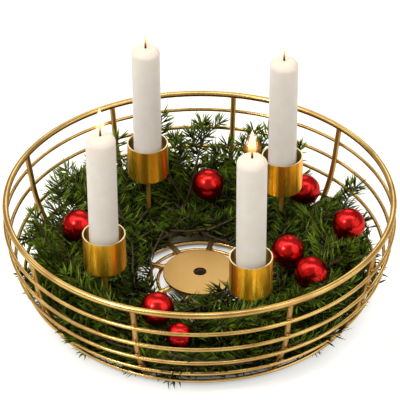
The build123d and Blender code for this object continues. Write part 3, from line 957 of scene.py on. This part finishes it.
    def plant(self, gap, shoots, needles, bark):
        """Builds one gap's needles and twigs as two meshes."""
        blades, tones, rows = [], [], []
        for line, thick, tone in shoots:
            line = self.free_part(line)
            if len(line) < SHORTEST_TWIG:
                continue
            found, shade, wanted = self.needles_on(line, tone)
            if len(found) >= BAREST_TWIG * wanted:
                rows.append((line, thick))
                blades.append(found)
                tones.append(shade)
        blades, tones = np.concatenate(blades), np.concatenate(tones)
        base = np.arange(len(blades))[:, None] * len(NEEDLE_ALONG)
        faces = []
        for kind in (NEEDLE_QUADS, NEEDLE_TIPS):
            faces += np.concatenate([base + np.array(face) for face in kind]).tolist()
        spray = mesh_piece(f"fir_needles_{gap}", blades.reshape(-1, 3).tolist(), faces, needles, BASKET,
                           smooth=False)
        point_values(spray, "tone", np.repeat(tones, len(NEEDLE_ALONG)))
        point_values(spray, "along", np.tile(NEEDLE_ALONG, len(blades)))
        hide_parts(f"fir_spray_{gap}")
        self.twigs(gap, rows, bark)

    def needles_on(self, line, tone):
        """Needles along a shoot: seven points each, narrow at the foot, folded along the middle and pointed."""
        run = np.linalg.norm(np.diff(line, axis=0), axis=1).sum()
        count = max(FEWEST_NEEDLES, int(run / MM * NEEDLES_PER_MM))
        t = np.sort(self.chance.uniform(NEEDLES_FROM, 1.0, count))
        t = np.concatenate([t, self.chance.uniform(TUFT_FROM, 1.0, TUFT_NEEDLES)])
        steps = np.linspace(0, 1, len(line))
        place, ahead = (np.stack([np.interp(t, steps, row) for row in rows.T], 1)
                        for rows in (line, np.gradient(line, axis=0)))
        ahead /= np.linalg.norm(ahead, axis=1, keepdims=True)
        across = np.cross(ahead, UP)
        across /= np.linalg.norm(across, axis=1, keepdims=True) + TINY
        over = np.cross(across, ahead)
        hand = np.where(np.arange(len(t)) % 2, 1.0, -1.0)
        rise = np.radians(self.chance.normal(*NEEDLE_RISE, len(t)))
        out = (hand * np.cos(rise))[:, None] * across + np.sin(rise)[:, None] * over
        stray = self.chance.normal(0.0, 1.0, len(t)) * (LEAN_SPREAD + TIP_SPREAD * t ** TIP_SPREAD_POWER)
        lean = np.radians(NEEDLE_LEAN - LEAN_LOSS * t ** LEAN_LOSS_POWER + stray)
        way = np.cos(lean)[:, None] * ahead + np.sin(lean)[:, None] * out
        size = self.settings.needle_length * self.chance.uniform(*NEEDLE_LENGTHS, len(t))
        size = (size * np.interp(t, *LENGTH_ALONG))[:, None]
        half = (self.settings.needle_width / 2 * self.chance.uniform(*NEEDLE_WIDTHS, len(t)))[:, None]
        flat = np.cross(way, over)
        flat /= np.linalg.norm(flat, axis=1, keepdims=True) + TINY
        twist = np.radians(self.chance.normal(0.0, NEEDLE_TWIST, len(t)))[:, None]
        flat = np.cos(twist) * flat + np.sin(twist) * np.cross(way, flat)
        ridge = np.cross(flat, way) * (NEEDLE_RIDGE * half)
        bow = NEEDLE_BOW * size * ahead
        belly = place + NEEDLE_BELLY * size * way - BELLY_BOW * bow
        tip = place + size * way + bow
        foot_half, belly_half = FOOT_WIDTH * half * flat, half * flat
        blades = np.stack([place - foot_half, place + FOOT_RIDGE * ridge, place + foot_half,
                           belly - belly_half, belly + ridge, belly + belly_half, tip], 1)
        free = self.free_needles(place, tip)
        shade = TONE_MIDDLE + tone + self.chance.normal(0.0, TONE_SPREAD, len(t)) + TONE_GAIN * t
        return blades[free], np.clip(shade, 0.0, 1.0)[free], len(t)

    def twigs(self, gap, rows, bark):
        """Tapered bark tubes along the shoots of one gap."""
        vertices, faces = [], []
        for line, thick in rows:
            faces += tube_faces(len(vertices), len(line), TWIG_SIDES)
            for k, (spot, ahead) in enumerate(zip(line, np.gradient(line, axis=0))):
                ahead = Vector(ahead).normalized()
                across = ahead.orthogonal().normalized()
                over = ahead.cross(across)
                radius = thick * (1.0 - TWIG_TAPER * k / TWIG_STEPS)
                for side in range(TWIG_SIDES):
                    turn = math.tau * side / TWIG_SIDES
                    knot = 1.0 + TWIG_KNOTS * math.sin(KNOTS_ALONG * k + KNOTS_ROUND * side)
                    out = math.cos(turn) * across + math.sin(turn) * over
                    vertices.append(Vector(spot) + radius * knot * out)
        mesh_piece(f"fir_twigs_{gap}", vertices, faces, bark, BASKET)

    def fir_needle(self, s):
        """Fir needles: waxy leaf, dark green above, yellower towards the tips, each a little different, with
        painted shade at each needle's foot.
        """
        material, tree = start_material("fir_needle")
        tone = add(tree, "ShaderNodeAttribute", out="Fac", attribute_name="tone")
        along = add(tree, "ShaderNodeAttribute", out="Fac", attribute_name="along")
        low = add(tree, "ShaderNodeMapRange", {"Value": tone, "From Min": 0.15, "From Max": 0.55})
        base = add(tree, "ShaderNodeMix", {MIX_FACTOR: low, MIX_A: s.needle_dark, MIX_B: s.needle_mid},
                   data_type="RGBA")
        high = add(tree, "ShaderNodeMapRange", {"Value": tone, "From Min": 0.55, "From Max": 0.95})
        base = add(tree, "ShaderNodeMix", {MIX_FACTOR: high, MIX_A: base, MIX_B: s.needle_light},
                   data_type="RGBA")
        # each needle turns lighter towards its own tip
        tip_lightening = add(tree, "ShaderNodeMapRange",
                    {"Value": along, "From Min": 0.45, "From Max": 1.0, "To Max": 0.5})
        base = add(tree, "ShaderNodeMix", {MIX_FACTOR: tip_lightening, MIX_A: base, MIX_B: s.needle_light},
                   data_type="RGBA")
        # painted shade: the foot of a needle sits deep in the spray, so it is darkened
        shaded = add(tree, "ShaderNodeMapRange",
                     {"Value": along, "From Min": 0.0, "From Max": 0.6, "To Min": 0.9, "To Max": 0.0})
        dark = [NEEDLE_FOOT_SHADE * c for c in s.needle_dark]
        base = add(tree, "ShaderNodeMix", {MIX_FACTOR: shaded, MIX_A: base, MIX_B: dark}, data_type="RGBA")
        leaf = add(tree, "ShaderNodeBsdfPrincipled",
                   {"Base Color": base, "Roughness": 0.35, "IOR": 1.42, "Specular IOR Level": 0.06})
        add(tree, "ShaderNodeOutputMaterial", {"Surface": leaf})
        return material

    def fir_bark(self, s):
        """Young fir bark: brown, matt and scaly."""
        material, tree = start_material("fir_bark")
        place = add(tree, "ShaderNodeTexCoord", out="Object")
        scales = add(tree, "ShaderNodeTexVoronoi", {"Vector": place, "Scale": 1.0 / (1.6 * MM)})
        dark = [BARK_DARK * c for c in s.bark]
        base = add(tree, "ShaderNodeMix", {MIX_FACTOR: scales, MIX_A: s.bark, MIX_B: dark}, data_type="RGBA")
        bump = add(tree, "ShaderNodeBump", {"Height": scales, "Strength": 0.5, "Distance": 0.3 * MM})
        bark = add(tree, "ShaderNodeBsdfPrincipled", {"Base Color": base, "Roughness": 0.85, "Normal": bump})
        add(tree, "ShaderNodeOutputMaterial", {"Surface": bark})
        return material


# Lamps: name, place, width and depth in metres, and share of the power
LAMPS = (
    ("key_softbox", (-1.45, -1.15, 1.95), (0.65, 0.65), 0.52),
    ("overhead_softbox", (0.0, -0.15, 2.55), (3.4, 0.7), 0.52),
    ("side_softbox", (-1.7, 0.2, 2.2), (2.4, 2.4), 0.35),
    ("back_softbox", (0.2, 2.2, 1.7), (1.6, 1.6), 0.19),
    ("fill_softbox", (2.0, -0.9, 1.5), (2.6, 2.6), 0.38),
)
FLOOR_HALF_SIZE = 6.0
FLOOR_DROP = 0.2 * MM
# Glow of the floor: distance from the middle in millimetres, strength; where it is zero, under the disc and the
# fir, it paints shadow
FLOOR_GLOW = ((0.0, 0.0), (26.0, 0.0), (36.0, 0.7), (63.0, 0.65), (70.0, 0.0), (142.0, 0.0), (156.0, 0.6),
              (200.0, 0.6))
# Camera: width of the photograph in pixels, width of the sensor in millimetres, and how far it sees in metres
PHOTO_PIXELS = 400
SENSOR_WIDTH = 36.0
FARTHEST_SEEN = 50.0


class ADVENT_OT_stage(bpy.types.Operator):
    """Sets up the floor, the light and the camera"""
    bl_idname = "advent.stage"
    bl_label = "Stage"

    def execute(self, context):
        s = context.scene.advent_stage
        self.floor(s)
        self.light(context.scene, s)
        self.camera(context.scene, s)
        context.scene.view_settings.view_transform = "Standard"
        return {"FINISHED"}

    def seen_directly(self, tree):
        """1 for rays from the camera, a mirror or glass, which see the pale backdrop."""
        path = add(tree, "ShaderNodeLightPath").node.outputs
        shine = add(tree, "ShaderNodeMath", {0: path["Is Camera Ray"], 1: path["Is Glossy Ray"]},
                    operation="MAXIMUM")
        return add(tree, "ShaderNodeMath", {0: shine, 1: path["Is Transmission Ray"]}, operation="MAXIMUM")

    def floor(self, s):
        """Cream painted board: it takes the shadow, and is as white as paper where nothing shades it; its glow
        is left out under the disc and the fir, which paints shadow there.
        """
        size = FLOOR_HALF_SIZE
        corners = [(x, y, -FLOOR_DROP) for x, y in ((-size, -size), (size, -size), (size, size), (-size, size))]
        mesh = bpy.data.meshes.new("floor")
        mesh.from_pydata(corners, [], [(0, 1, 2, 3)])
        material, tree = start_material("cream_painted_board")
        paint = add(tree, "ShaderNodeBsdfDiffuse", {"Color": s.floor})
        place = add(tree, "ShaderNodeTexCoord", out="Object")
        away = add(tree, "ShaderNodeVectorMath", {0: place}, operation="LENGTH")
        # painted shadow: under the disc and the fir the glow is left out, so the floor there has only the light
        # that finds its way there
        reach = FLOOR_GLOW[-1][0]
        share = add(tree, "ShaderNodeMath", {0: away, 1: reach * MM}, operation="DIVIDE")
        glow_rings = add(tree, "ShaderNodeValToRGB", {"Fac": share})
        for radius, strength in FLOOR_GLOW:
            glow_rings.node.color_ramp.elements.new(radius / reach).color = (strength, strength, strength, 1.0)
        lift = add(tree, "ShaderNodeMath", {0: self.seen_directly(tree), 1: glow_rings}, operation="MULTIPLY")
        glow = add(tree, "ShaderNodeEmission", {"Strength": lift})
        both = add(tree, "ShaderNodeAddShader", {0: paint, 1: glow})
        add(tree, "ShaderNodeOutputMaterial", {"Surface": both})
        mesh.materials.append(material)
        floor = bpy.data.objects.new("floor", mesh)
        bpy.context.scene.collection.objects.link(floor)

    def light(self, scene, s):
        """White light from all round, and soft lamps that face the object."""
        world = bpy.data.worlds.new("studio")
        world.use_nodes = True
        tree = world.node_tree
        tree.nodes.clear()
        sky = add(tree, "ShaderNodeBackground", {"Color": (1.0, 1.0, 1.0), "Strength": s.sky})
        add(tree, "ShaderNodeOutputWorld", {"Surface": sky})
        scene.world = world
        for name, place, size, share in LAMPS:
            lamp = bpy.data.lights.new(name, "AREA")
            lamp.energy = s.power * share
            lamp.shape = "ELLIPSE"
            lamp.size, lamp.size_y = size
            holder = bpy.data.objects.new(name, lamp)
            holder.location = place
            holder.rotation_mode = "QUATERNION"
            ahead = Vector((0.0, 0.0, s.aim_height)) - Vector(place)
            holder.rotation_quaternion = ahead.to_track_quat("-Z", "Y")
            scene.collection.objects.link(holder)

    def camera(self, scene, s):
        """Camera at the photograph's angle and distance."""
        data = bpy.data.cameras.new("camera")
        data.sensor_width = SENSOR_WIDTH
        data.lens = s.focal_pixels / PHOTO_PIXELS * SENSOR_WIDTH
        data.clip_end = FARTHEST_SEEN
        ahead = Vector((0.0, math.cos(s.elevation), -math.sin(s.elevation)))
        up = Vector((0.0, math.sin(s.elevation), math.cos(s.elevation)))
        right = Vector((1.0, 0.0, 0.0))
        tilted_right = math.cos(s.roll) * right + math.sin(s.roll) * up
        tilted_up = math.cos(s.roll) * up - math.sin(s.roll) * right
        aim = Vector((s.aim_right, 0.0, s.aim_height))
        camera = bpy.data.objects.new("camera", data)
        turn = Matrix((tilted_right, tilted_up, -ahead)).transposed()
        camera.matrix_world = Matrix.Translation(aim - s.distance * ahead) @ turn.to_4x4()
        scene.collection.objects.link(camera)
        scene.camera = camera


OPERATORS = (ADVENT_OT_stage, ADVENT_OT_wire, ADVENT_OT_disc, ADVENT_OT_cups, ADVENT_OT_candles,
             ADVENT_OT_flames, ADVENT_OT_baubles, ADVENT_OT_fir)


class ADVENT_PT_panel(bpy.types.Panel):
    """Sizes, colours and steps of the advent candle holder"""
    bl_idname = "ADVENT_PT_panel"
    bl_label = "Advent candle holder"
    bl_space_type = "VIEW_3D"
    bl_region_type = "UI"
    bl_category = "Advent"

    def draw(self, context):
        for operator in OPERATORS:
            self.layout.operator(operator.bl_idname)
        for name, group in SETTINGS.items():
            box = self.layout.box()
            box.label(text=group.__doc__)
            for prop in group.__annotations__:
                box.prop(getattr(context.scene, name), prop)


CLASSES = tuple(SETTINGS.values()) + OPERATORS + (ADVENT_PT_panel,)


def register():
    for cls in CLASSES:
        bpy.utils.register_class(cls)
    for name, group in SETTINGS.items():
        setattr(bpy.types.Scene, name, bpy.props.PointerProperty(type=group))


def unregister():
    for name in SETTINGS:
        delattr(bpy.types.Scene, name)
    for cls in reversed(CLASSES):
        bpy.utils.unregister_class(cls)


def main():
    register()
    bpy.ops.advent.stage()
    bpy.ops.advent.wire()
    bpy.ops.advent.disc()
    bpy.ops.advent.cups()
    bpy.ops.advent.candles()
    bpy.ops.advent.flames()
    bpy.ops.advent.baubles()
    bpy.ops.advent.fir()


if __name__ == "__main__":
    main()
